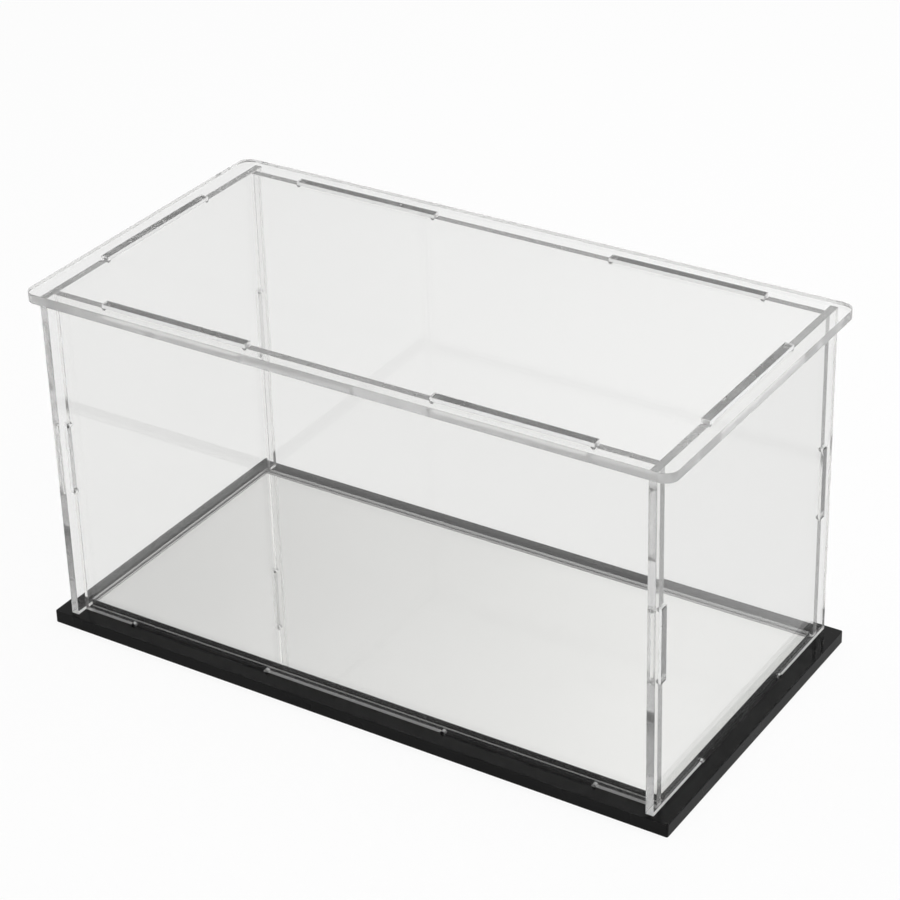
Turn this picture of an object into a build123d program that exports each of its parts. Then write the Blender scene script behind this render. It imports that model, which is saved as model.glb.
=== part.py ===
"""Tabletop display case for a ball, cut from acrylic sheet.

A black base plate carries a mirror floor panel and four clear walls, and a clear lid closes the top.
Every joint is a tab of one sheet in a closed slot of another, so the case goes together without screws.
The origin is the middle of the base plate's underside. X runs along the case, the front looks along -Y.
All sizes are in millimetres.
"""

import os

from build123d import *

# Thickness of each sheet.
wall_sheet = 5.0
lid_sheet = 6.0
base_sheet = 8.0
mirror_sheet = 5.0

# The box that the walls form: over the end walls' outer faces, over the front and back walls' outer
# faces, and from the base plate's top face to the lid's underside.
case_length = 400.0
case_width = 197.0
wall_height = 210.0

# The end walls reach past the front and back walls, and both plates reach past the box on all sides.
end_wall_reach = 7.0
lid_overhang = 10.0
base_overhang = 10.5
lid_corner_radius = 8.0
base_corner_radius = 1.2

# Tabs, by their length along the edge that carries them. The long walls have two tabs above and below,
# set in from the end walls' inner faces, and the end walls have one in the middle.
long_tab = 98.0
long_tab_inset = 36.0
end_tab = 96.0
corner_tab = 45.0

# Small round cut at both roots of every tab, so that the tab seats fully in a slot with sharp corners.
relief_radius = 1.4

# Clearances: at the ends and the sides of a tab in its slot, where the long walls meet the end walls,
# from the mirror panel to the end walls and to the long walls, and between the lower tabs and the
# surface that the case stands on.
slot_end_gap = 1.0
slot_side_gap = 0.15
butt_gap = 0.1
mirror_end_gap = 1.0
mirror_side_gap = 2.5
foot_gap = 0.5

# Places that follow from the sizes above.
slot_width = wall_sheet + 2 * slot_side_gap
floor_z = base_sheet
lid_z = floor_z + wall_height
top_z = lid_z + lid_sheet
middle_z = floor_z + wall_height / 2
end_wall_x = (case_length - wall_sheet) / 2
long_wall_y = (case_width - wall_sheet) / 2
inner_length = case_length - 2 * wall_sheet
inner_width = case_width - 2 * wall_sheet
long_tab_x = inner_length / 2 - long_tab_inset - long_tab / 2

# Where the tabs cross the base plate and the lid, as seen from above.
long_tab_places = [(x, y) for x in (-long_tab_x, long_tab_x) for y in (-long_wall_y, long_wall_y)]
end_tab_places = [(-end_wall_x, 0), (end_wall_x, 0)]

# Roots of the tabs in the plane of their own sheet, along the wall and up.
edges_z = (floor_z, lid_z)
long_tab_ends = [x + side * long_tab / 2 for x in (-long_tab_x, long_tab_x) for side in (-1, 1)]
long_tab_roots = [(x, z) for x in long_tab_ends for z in edges_z]
corner_tab_ends = [middle_z + side * corner_tab / 2 for side in (-1, 1)]
corner_tab_roots = [(side * inner_length / 2, z) for side in (-1, 1) for z in corner_tab_ends]
end_tab_roots = [(side * end_tab / 2, z) for side in (-1, 1) for z in edges_z]

os.makedirs("parts", exist_ok=True)

# Base plate: black sheet with the six through slots that hold the walls upright.
with BuildPart() as base_plate:
    with BuildSketch(Plane.XY):
        RectangleRounded(
            case_length + 2 * base_overhang,
            case_width + 2 * base_overhang,
            base_corner_radius,
        )
        with Locations(*long_tab_places):
            Rectangle(long_tab + 2 * slot_end_gap, slot_width, mode=Mode.SUBTRACT)
        with Locations(*end_tab_places):
            Rectangle(slot_width, end_tab + 2 * slot_end_gap, mode=Mode.SUBTRACT)
    extrude(amount=base_sheet)
base_plate.part.label = "base_plate"
export_step(base_plate.part, "parts/base_plate.step")

# Mirror panel: lies loose on the base plate inside the walls, with a little room all round.
with BuildPart() as mirror_panel:
    with BuildSketch(Plane.XY.offset(floor_z)):
        Rectangle(inner_length - 2 * mirror_end_gap, inner_width - 2 * mirror_side_gap)
    extrude(amount=mirror_sheet)
mirror_panel.part.label = "mirror_panel"
export_step(mirror_panel.part, "parts/mirror_panel.step")

# Front and back walls: they stand between the end walls. Two tall strips make the tabs above and below,
# and one level strip makes the tabs that pass through the end walls, flush with their outer faces.
for wall_name, wall_y in (("front_wall", -long_wall_y), ("back_wall", long_wall_y)):
    with BuildPart() as long_wall:
        with BuildSketch(Plane.XZ.offset(-wall_y)):
            with Locations((0, middle_z)):
                Rectangle(inner_length - 2 * butt_gap, wall_height)
                Rectangle(case_length, corner_tab)
            with Locations((-long_tab_x, foot_gap), (long_tab_x, foot_gap)):
                Rectangle(long_tab, top_z - foot_gap, align=(Align.CENTER, Align.MIN))
            with Locations(*long_tab_roots, *corner_tab_roots):
                Circle(relief_radius, mode=Mode.SUBTRACT)
        extrude(amount=wall_sheet / 2, both=True)
    long_wall.part.label = wall_name
    export_step(long_wall.part, f"parts/{wall_name}.step")

# Left and right walls: full height, wider than the box, with one tab above and below and a closed slot
# near each edge for the long walls' tabs.
for wall_name, wall_x in (("left_wall", -end_wall_x), ("right_wall", end_wall_x)):
    with BuildPart() as end_wall:
        with BuildSketch(Plane.YZ.offset(wall_x)):
            with Locations((0, middle_z)):
                Rectangle(case_width + 2 * end_wall_reach, wall_height)
            with Locations((0, foot_gap)):
                Rectangle(end_tab, top_z - foot_gap, align=(Align.CENTER, Align.MIN))
            with Locations((-long_wall_y, middle_z), (long_wall_y, middle_z)):
                Rectangle(slot_width, corner_tab + 2 * slot_end_gap, mode=Mode.SUBTRACT)
            with Locations(*end_tab_roots):
                Circle(relief_radius, mode=Mode.SUBTRACT)
        extrude(amount=wall_sheet / 2, both=True)
    end_wall.part.label = wall_name
    export_step(end_wall.part, f"parts/{wall_name}.step")

# Lid: clear plate that rests on the walls' top edges, with the tabs flush in its slots.
with BuildPart() as lid:
    with BuildSketch(Plane.XY.offset(lid_z)):
        RectangleRounded(
            case_length + 2 * lid_overhang,
            case_width + 2 * lid_overhang,
            lid_corner_radius,
        )
        with Locations(*long_tab_places):
            Rectangle(long_tab + 2 * slot_end_gap, slot_width, mode=Mode.SUBTRACT)
        with Locations(*end_tab_places):
            Rectangle(slot_width, end_tab + 2 * slot_end_gap, mode=Mode.SUBTRACT)
    extrude(amount=lid_sheet)
lid.part.label = "lid"
export_step(lid.part, "parts/lid.step")
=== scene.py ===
"""Looks of the ball display case: clear tab-and-slot walls and lid on a black base with a mirror floor.

Metres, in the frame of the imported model: the base stands on z = 0, X runs along the case, the front
looks along -Y. The sections follow the case as it is put together.
"""

import math

import bmesh
import bpy
from mathutils import Matrix, Vector


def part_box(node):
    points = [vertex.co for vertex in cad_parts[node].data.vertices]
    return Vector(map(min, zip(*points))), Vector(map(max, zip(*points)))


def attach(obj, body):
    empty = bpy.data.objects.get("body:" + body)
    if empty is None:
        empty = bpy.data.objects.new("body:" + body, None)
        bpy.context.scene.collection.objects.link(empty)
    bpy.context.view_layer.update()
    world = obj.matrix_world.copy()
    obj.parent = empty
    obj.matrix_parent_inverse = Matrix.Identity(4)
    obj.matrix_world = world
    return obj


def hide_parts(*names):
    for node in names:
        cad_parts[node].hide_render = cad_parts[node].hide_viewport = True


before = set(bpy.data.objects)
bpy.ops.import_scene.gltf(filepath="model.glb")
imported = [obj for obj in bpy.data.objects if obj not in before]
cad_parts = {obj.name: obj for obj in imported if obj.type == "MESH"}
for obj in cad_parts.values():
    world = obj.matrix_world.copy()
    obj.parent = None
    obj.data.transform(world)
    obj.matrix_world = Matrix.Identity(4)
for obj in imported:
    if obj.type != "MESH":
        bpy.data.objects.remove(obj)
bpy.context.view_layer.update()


# Base plate: one sheet of 8 mm black acrylic with six through slots, laser-cut. The sheet keeps its
# own gloss, and the walls' lower tabs drop into its slots.

acrylic_ior = 1.49
sheet_face, cut_face = 0, 1


def cut_panel(node, name, round_off, air=0.0):
    """The sheet of a CAD node as a new piece: its cut edges eased by round_off, and every face drawn in
    by air, so that light sees a gap where two sheets meet."""
    same_point = 1e-6
    same_plane, corner_angle = math.radians(1), math.radians(30)
    along_thickness = 0.999
    bm = bmesh.new()
    bm.from_mesh(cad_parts[node].data)
    bmesh.ops.remove_doubles(bm, verts=bm.verts, dist=same_point)
    bmesh.ops.dissolve_limit(bm, angle_limit=same_plane, verts=bm.verts, edges=bm.edges)
    low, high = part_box(node)
    thickness = min(range(3), key=lambda axis: high[axis] - low[axis])
    for vert in bm.verts:
        ways = {tuple(round(part, 2) for part in face.normal) for face in vert.link_faces}
        for way in ways:
            vert.co -= air * Vector(way)
    corners = [edge for edge in bm.edges if edge.calc_face_angle(0) > corner_angle]
    bmesh.ops.bevel(
        bm, geom=corners, offset=round_off, offset_type="OFFSET", segments=2, profile=0.5,
        affect="EDGES", material=-1,
    )
    for face in bm.faces:
        on_sheet = abs(face.normal[thickness]) > along_thickness
        face.material_index = sheet_face if on_sheet else cut_face
    mesh = bpy.data.meshes.new(name)
    bm.to_mesh(mesh)
    bm.free()
    piece = bpy.data.objects.new(name, mesh)
    bpy.context.scene.collection.objects.link(piece)
    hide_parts(node)
    return piece


def surface(piece, *materials):
    """Gives the piece its materials: first the sheet faces', then the cut edges', then any others."""
    for material in materials:
        piece.data.materials.append(material)


def new_material(name):
    """A node material, with its node tree, its Principled shader and its output."""
    material = bpy.data.materials.new(name)
    material.use_nodes = True
    tree = material.node_tree
    return material, tree, tree.nodes["Principled BSDF"], tree.nodes["Material Output"]


def noise(tree, scale, detail=2.0, stretch=(1.0, 1.0, 1.0)):
    """A noise pattern on Object coordinates, with scale in waves a metre."""
    place = tree.nodes.new("ShaderNodeTexCoord")
    mapping = tree.nodes.new("ShaderNodeMapping")
    mapping.inputs["Scale"].default_value = stretch
    pattern = tree.nodes.new("ShaderNodeTexNoise")
    pattern.inputs["Scale"].default_value = scale
    pattern.inputs["Detail"].default_value = detail
    tree.links.new(place.outputs["Object"], mapping.inputs["Vector"])
    tree.links.new(mapping.outputs["Vector"], pattern.inputs["Vector"])
    return pattern.outputs["Fac"]


def spread(tree, value, low, high, start=0.35, end=0.65):
    """The value, from start to end, spread over low to high. Unless they are given, start and end bound
    the middle band of a noise."""
    span = tree.nodes.new("ShaderNodeMapRange")
    span.inputs["From Min"].default_value = start
    span.inputs["From Max"].default_value = end
    span.inputs["To Min"].default_value = low
    span.inputs["To Max"].default_value = high
    tree.links.new(value, span.inputs["Value"])
    return span.outputs["Result"]


def bump(tree, height, depth):
    """A bump whose full height is depth metres."""
    node = tree.nodes.new("ShaderNodeBump")
    node.inputs["Distance"].default_value = depth
    tree.links.new(height, node.inputs["Height"])
    return node.outputs["Normal"]


def tints(tree, value, dark, light):
    """A colour between dark and light, as value goes from 0 to 1."""
    mix = tree.nodes.new("ShaderNodeMix")
    mix.data_type = "RGBA"
    mix.inputs["A"].default_value = (*dark, 1)
    mix.inputs["B"].default_value = (*light, 1)
    tree.links.new(value, mix.inputs["Factor"])
    return mix.outputs["Result"]


def black_acrylic(name, dark, light, rough_low, rough_high, shine, dents, depth):
    """Black acrylic: dark and light bound its grey, rough_low and rough_high its roughness, and shine is
    how strongly it reflects. Its surface is uneven by depth metres, with so many dents a metre."""
    material, tree, shader, _ = new_material(name)
    haze = spread(tree, noise(tree, scale=9.0, detail=4.0), 0, 1)
    rough = spread(tree, noise(tree, scale=25.0, detail=3.0), rough_low, rough_high)
    tree.links.new(tints(tree, haze, [dark] * 3, [light] * 3), shader.inputs["Base Color"])
    tree.links.new(rough, shader.inputs["Roughness"])
    tree.links.new(bump(tree, noise(tree, scale=dents), depth), shader.inputs["Normal"])
    shader.inputs["IOR"].default_value = acrylic_ior
    shader.inputs["Specular IOR Level"].default_value = shine
    return material


base = cut_panel("base_plate", "black_base", round_off=0.0003)
surface(
    base,
    black_acrylic(
        "black_sheet", dark=0.001, light=0.002, rough_low=0.04, rough_high=0.06, shine=0.13,
        dents=40.0, depth=0.000004,
    ),
    black_acrylic(
        "black_cut_edge", dark=0.005, light=0.01, rough_low=0.25, rough_high=0.35, shine=0.12,
        dents=900.0, depth=0.00002,
    ),
)
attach(base, "base")


# Mirror panel: 5 mm clear acrylic, silvered and painted on its underside, and laid loose inside the
# walls. The laser has burnt the silver off along the border, and sooted and frosted the cut edges.
# Seen from outside, the cut edges' near-black is that soot darkened further as painted shade for the
# narrow gap to the walls. The light grey paint line on the front and back edges only is partly painted
# light.

def clear_acrylic(name, tint, rough_low, rough_high, depth_tint, shine=0.5, frost=0.0):
    """Clear acrylic that lets lamps through, as real sheet nearly does. It takes depth_tint off the light
    for each metre that the light travels inside it. Shine scales its reflection seen face on, and the
    share of frost scatters light."""
    uneven, lamp_light = 0.995, 0.95
    material, tree, shader, output = new_material(name)
    cloud = spread(tree, noise(tree, scale=6.0), 0, 1)
    rough = spread(tree, noise(tree, scale=30.0, detail=4.0), rough_low, rough_high)
    tree.links.new(
        tints(tree, cloud, [part * uneven for part in tint], tint), shader.inputs["Base Color"]
    )
    tree.links.new(rough, shader.inputs["Roughness"])
    shader.inputs["Transmission Weight"].default_value = 1.0 - frost
    shader.inputs["IOR"].default_value = acrylic_ior
    shader.inputs["Specular Tint"].default_value = (shine, shine, shine, 1)
    through = tree.nodes.new("ShaderNodeBsdfTransparent")
    through.inputs["Color"].default_value = (lamp_light, lamp_light, lamp_light, 1)
    path = tree.nodes.new("ShaderNodeLightPath")
    mix = tree.nodes.new("ShaderNodeMixShader")
    tree.links.new(path.outputs["Is Shadow Ray"], mix.inputs[0])
    tree.links.new(shader.outputs["BSDF"], mix.inputs[1])
    tree.links.new(through.outputs["BSDF"], mix.inputs[2])
    tree.links.new(mix.outputs["Shader"], output.inputs["Surface"])
    depth = tree.nodes.new("ShaderNodeVolumeAbsorption")
    depth.inputs["Color"].default_value = (0, 0, 0, 1)
    depth.inputs["Density"].default_value = depth_tint
    tree.links.new(depth.outputs["Volume"], output.inputs["Volume"])
    return material


def cut_edge(name, tint, rough_low, rough_high, frost, depth_tint, across=None, soot=None):
    """A laser-cut edge of clear sheet. Across names the axis of the sheet's thickness, where the laser
    leaves fine lines. Soot is the tint seen from outside, which on the mirror also paints shade, while
    tint is the one seen through the sheet."""
    in_a_line = 0.7
    material = clear_acrylic(name, tint, rough_low, rough_high, depth_tint, frost=frost)
    tree = material.node_tree
    shader = tree.nodes["Principled BSDF"]
    if across is not None:
        stretch = [1.0, 1.0, 1.0]
        stretch[across] = 0.0
        lines = spread(tree, noise(tree, scale=1500.0, detail=3.0, stretch=stretch), 0, 1)
        tree.links.new(
            tints(tree, lines, [part * in_a_line for part in tint], tint), shader.inputs["Base Color"]
        )
    if soot is not None:
        side = tree.nodes.new("ShaderNodeNewGeometry")
        tree.links.new(
            tints(tree, side.outputs["Backfacing"], [soot] * 3, tint), shader.inputs["Base Color"]
        )
    return material


def silver(name):
    """The silver under the clear sheet, a little cloudy."""
    material, tree, shader, _ = new_material(name)
    cloud = spread(tree, noise(tree, scale=5.0, detail=3.0), 0, 1)
    rough = spread(tree, noise(tree, scale=60.0, detail=3.0), 0.0, 0.015)
    tree.links.new(tints(tree, cloud, (0.93, 0.93, 0.925), (0.95, 0.95, 0.945)), shader.inputs["Base Color"])
    tree.links.new(rough, shader.inputs["Roughness"])
    shader.inputs["Metallic"].default_value = 1.0
    return material


def burnt(name):
    """The dark border that the laser leaves."""
    material, tree, shader, _ = new_material(name)
    soot = spread(tree, noise(tree, scale=700.0, detail=3.0), 0, 1)
    rough = spread(tree, noise(tree, scale=500.0, detail=3.0), 0.4, 0.6)
    tree.links.new(
        tints(tree, soot, (0.004, 0.004, 0.004), (0.02, 0.019, 0.017)), shader.inputs["Base Color"]
    )
    tree.links.new(rough, shader.inputs["Roughness"])
    shader.inputs["Specular IOR Level"].default_value = 0.1
    return material


def paint(name, dark, light):
    """The edge of the paint that backs the silver."""
    material, tree, shader, _ = new_material(name)
    streaks = spread(tree, noise(tree, scale=400.0, detail=3.0), 0, 1)
    rough = spread(tree, noise(tree, scale=200.0), 0.45, 0.6)
    tree.links.new(tints(tree, streaks, [dark] * 3, [light] * 3), shader.inputs["Base Color"])
    tree.links.new(rough, shader.inputs["Roughness"])
    return material


sheet_air = 0.00004
burnt_border = 0.0009
paint_line = 0.0009
mirror_depth_tint = 1.5
# The further materials' numbers, and what a face's normal is past when it looks that way.
silver_face, burnt_face, paint_and_light_face = 2, 3, 4
looking_down, looking_along_y = -0.999, 0.5

mirror = cut_panel("mirror_panel", "mirror_floor", round_off=0.00015, air=sheet_air)
surface(
    mirror,
    clear_acrylic(
        "mirror_sheet", tint=(0.99, 0.99, 0.985), rough_low=0.0, rough_high=0.01,
        depth_tint=mirror_depth_tint,
    ),
    # From outside, the mirror's cut edges are near-black. This is laser soot, darkened further to paint the
    # shade in the narrow gap between the panel and the walls.
    cut_edge(
        "mirror_cut_edge", tint=(0.3, 0.3, 0.295), rough_low=0.03, rough_high=0.08, frost=0.75,
        depth_tint=mirror_depth_tint, soot=0.02,
    ),
    silver("silver_back"),
    burnt("burnt_border"),
    paint("paint_edge_painted_light", dark=0.7, light=0.85),
)
bm = bmesh.new()
bm.from_mesh(mirror.data)
underside = [face for face in bm.faces if face.normal.z < looking_down]
border = bmesh.ops.inset_region(bm, faces=underside, thickness=burnt_border)["faces"]
for face in underside:
    face.material_index = silver_face
for face in border:
    face.material_index = burnt_face
low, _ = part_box("mirror_panel")
paint_top = low[2] + paint_line
bmesh.ops.bisect_plane(
    bm, geom=bm.verts[:] + bm.edges[:] + bm.faces[:], plane_co=(0, 0, paint_top), plane_no=(0, 0, 1)
)
# The light grey line of backing paint goes on the front and back edges only. The paint itself is real.
# Keeping it off the left and right edges paints those sides darker than the front and back, as light falls.
for face in bm.faces:
    if abs(face.normal.y) > looking_along_y and face.calc_center_median().z < paint_top:
        face.material_index = paint_and_light_face
bm.to_mesh(mirror.data)
bm.free()
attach(mirror, "base")


# Walls: 5 mm clear acrylic. The front and back walls stand between the end walls, and their side tabs
# pass through the end walls' slots. The laser leaves fine lines on the top edges and a frost below,
# whose grey is painted light: bright on the end walls, darker on the front and back walls.

# The film of dust and handling marks on the sheets is given as the share of light that it scatters.
clear_depth_tint = 0.2
film = 0.015
top_face, foot_face = 2, 3
up_or_down = 0.7

wall_sheet = clear_acrylic(
    "clear_sheet", tint=(0.967, 0.967, 0.962), rough_low=0.0, rough_high=0.01,
    depth_tint=clear_depth_tint, shine=0.85, frost=film,
)
post_edge = cut_edge(
    "clear_cut_edge", tint=(0.985, 0.985, 0.98), rough_low=0.04, rough_high=0.08, frost=0.16,
    depth_tint=clear_depth_tint,
)
long_top, end_top = (
    cut_edge(
        name, tint=(0.62, 0.62, 0.615), rough_low=0.15, rough_high=0.3, frost=0.12,
        depth_tint=clear_depth_tint, across=thickness,
    )
    for name, thickness in (("top_cut_edge_y", 1), ("top_cut_edge_x", 0))
)
# The lower edges' grey is painted light and shade. The end walls' lower edges are painted bright and the
# front and back walls' lower edges darker, for light falling from the case's ends.
long_foot_painted_shade = cut_edge(
    "long_lower_edge_painted_shade", tint=(0.4, 0.4, 0.395), rough_low=0.0, rough_high=0.02, frost=0.75,
    depth_tint=clear_depth_tint,
)
end_foot_painted_light = cut_edge(
    "end_lower_edge_painted_light", tint=(0.99, 0.99, 0.985), rough_low=0.0, rough_high=0.02, frost=0.95,
    depth_tint=clear_depth_tint,
)

for node, name, top_edge, foot_edge in (
    ("front_wall", "front_panel", long_top, long_foot_painted_shade),
    ("back_wall", "back_panel", long_top, long_foot_painted_shade),
    ("left_wall", "left_panel", end_top, end_foot_painted_light),
    ("right_wall", "right_panel", end_top, end_foot_painted_light),
):
    wall = cut_panel(node, name, round_off=0.0002, air=sheet_air)
    surface(wall, wall_sheet, post_edge, top_edge, foot_edge)
    for face in wall.data.polygons:
        if face.normal.z > up_or_down:
            face.material_index = top_face
        elif face.normal.z < -up_or_down:
            face.material_index = foot_face
    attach(wall, "walls")


# Lid: 6 mm clear acrylic with round corners. It rests on the walls' top edges, with their tabs flush in
# its slots, and lifts straight off.

lid = cut_panel("lid", "lid_panel", round_off=0.00012)
surface(
    lid,
    clear_acrylic(
        "lid_sheet", tint=(0.975, 0.975, 0.97), rough_low=0.0, rough_high=0.01,
        depth_tint=clear_depth_tint, shine=1.0, frost=film,
    ),
    cut_edge(
        "lid_cut_edge", tint=(0.97, 0.97, 0.965), rough_low=0.03, rough_high=0.07, frost=0.3,
        depth_tint=clear_depth_tint,
    ),
)
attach(lid, "lid")


# Floor: a wide white table. Its own light is for what looks at it straight, in a gloss or through the
# acrylic, and the rest of it takes the lamps and the case's shadow.

def white_ground(name, own_light, seen_white, glossy_white, shown_white):
    """A table that looks seen_white straight on, glossy_white in a plain reflection and shown_white
    through clear sheet. Its own light makes up own_light of that, and lamps and shadows the rest."""
    material, tree, shader, output = new_material(name)
    grain = spread(tree, noise(tree, scale=1.5), 0, 1)
    tree.links.new(tints(tree, grain, (0.9, 0.9, 0.9), (0.92, 0.92, 0.92)), shader.inputs["Base Color"])
    shader.inputs["Roughness"].default_value = 0.9
    shader.inputs["Specular IOR Level"].default_value = 0.0
    path = tree.nodes.new("ShaderNodeLightPath")
    glow = tree.nodes.new("ShaderNodeEmission")
    white = tints(tree, path.outputs["Is Transmission Ray"], [glossy_white] * 3, [shown_white] * 3)
    plain = tree.nodes.new("ShaderNodeMix")
    plain.data_type = "RGBA"
    plain.inputs["B"].default_value = (seen_white, seen_white, seen_white, 1)
    tree.links.new(path.outputs["Is Camera Ray"], plain.inputs["Factor"])
    tree.links.new(white, plain.inputs["A"])
    tree.links.new(plain.outputs["Result"], glow.inputs["Color"])
    share = path.outputs["Is Camera Ray"]
    for kind in ("Is Glossy Ray", "Is Transmission Ray"):
        either = tree.nodes.new("ShaderNodeMath")
        either.operation = "MAXIMUM"
        tree.links.new(share, either.inputs[0])
        tree.links.new(path.outputs[kind], either.inputs[1])
        share = either.outputs[0]
    part = tree.nodes.new("ShaderNodeMath")
    part.operation = "MULTIPLY"
    part.inputs[1].default_value = own_light
    tree.links.new(share, part.inputs[0])
    mix = tree.nodes.new("ShaderNodeMixShader")
    tree.links.new(part.outputs[0], mix.inputs[0])
    tree.links.new(shader.outputs["BSDF"], mix.inputs[1])
    tree.links.new(glow.outputs["Emission"], mix.inputs[2])
    tree.links.new(mix.outputs["Shader"], output.inputs["Surface"])
    return material


half_table = 6.0
bm = bmesh.new()
bmesh.ops.create_grid(bm, x_segments=1, y_segments=1, size=half_table)
table = bpy.data.objects.new("table", bpy.data.meshes.new("table"))
bm.to_mesh(table.data)
bm.free()
surface(
    table, white_ground("white_table", own_light=0.9, seen_white=1.0, glossy_white=0.6, shown_white=0.9)
)
bpy.context.scene.collection.objects.link(table)


# Light: a white room that looks a little grey on its left and sheds most light from the case's two
# ends, with a large soft lamp above and one on the right.

grey_until, white_from = -0.55, -0.38
left_grey, room_white = 0.70, 1.0
middle_light, end_light = 0.25, 1.2

room = bpy.data.worlds.new("white_room")
room.use_nodes = True
tree = room.node_tree
glow = tree.nodes["Background"]
glow.inputs["Color"].default_value = (1, 1, 1, 1)
way = tree.nodes.new("ShaderNodeTexCoord")
parts = tree.nodes.new("ShaderNodeSeparateXYZ")
tree.links.new(way.outputs["Generated"], parts.inputs["Vector"])
seen = spread(tree, parts.outputs["X"], left_grey, room_white, grey_until, white_from)
endways = tree.nodes.new("ShaderNodeMath")
endways.operation = "MULTIPLY"
tree.links.new(parts.outputs["X"], endways.inputs[0])
tree.links.new(parts.outputs["X"], endways.inputs[1])
cast = spread(tree, endways.outputs[0], middle_light, end_light, 0.0, 1.0)
path = tree.nodes.new("ShaderNodeLightPath")
strength = tree.nodes.new("ShaderNodeMix")
tree.links.new(path.outputs["Is Diffuse Ray"], strength.inputs["Factor"])
tree.links.new(seen, strength.inputs["A"])
tree.links.new(cast, strength.inputs["B"])
tree.links.new(strength.outputs["Result"], glow.inputs["Strength"])
bpy.context.scene.world = room


def soft_lamp(name, place, aim, width, power):
    """A square lamp of so many watts that shows neither in a gloss nor through the acrylic."""
    lamp = bpy.data.lights.new(name, "AREA")
    lamp.shape = "SQUARE"
    lamp.size = width
    lamp.energy = power
    holder = bpy.data.objects.new(name, lamp)
    turn = (Vector(aim) - Vector(place)).to_track_quat("-Z", "Y")
    holder.matrix_world = Matrix.Translation(place) @ turn.to_matrix().to_4x4()
    holder.visible_glossy = False
    holder.visible_transmission = False
    bpy.context.scene.collection.objects.link(holder)


case_middle = (0, 0, 0.1)
soft_lamp("top_lamp", place=(0.3, 0.6, 2.2), aim=case_middle, width=1.8, power=22.0)
soft_lamp("right_lamp", place=(1.6, 0.4, 1.5), aim=case_middle, width=1.2, power=9.0)


# Camera: a long lens from the front right and above, as in the photograph. Its turn, rise, roll and reach
# were fitted to the case's edges, and its shift to the framing.

camera_turn = math.radians(33.03)
camera_rise = math.radians(27.918)
camera_roll = math.radians(-1.645)
camera_reach = 1.838061
camera_aim = Vector((-0.109802, 0.183421, 0.071263))
sensor_width = 36.0
lens_pixels = 2800.631
shift_pixels = -90.0
picture_pixels = 900.0

back = Vector((
    math.sin(camera_turn) * math.cos(camera_rise),
    -math.cos(camera_turn) * math.cos(camera_rise),
    math.sin(camera_rise),
))
right = Vector((0, 0, 1)).cross(back).normalized()
up = back.cross(right)
level = Matrix((right, up, back)).transposed()
camera = bpy.data.objects.new("camera", bpy.data.cameras.new("camera"))
camera.data.sensor_width = sensor_width
camera.data.lens = sensor_width * lens_pixels / picture_pixels
camera.data.shift_y = shift_pixels / picture_pixels
camera.matrix_world = (
    Matrix.Translation(camera_aim + camera_reach * back)
    @ (level @ Matrix.Rotation(camera_roll, 3, "Z")).to_4x4()
)
bpy.context.scene.collection.objects.link(camera)
bpy.context.scene.camera = camera

bpy.context.scene.view_settings.view_transform = "Standard"
bpy.context.scene.cycles.max_bounces = 48
bpy.context.scene.cycles.glossy_bounces = 40
bpy.context.scene.cycles.transmission_bounces = 40
bpy.context.scene.cycles.transparent_max_bounces = 32
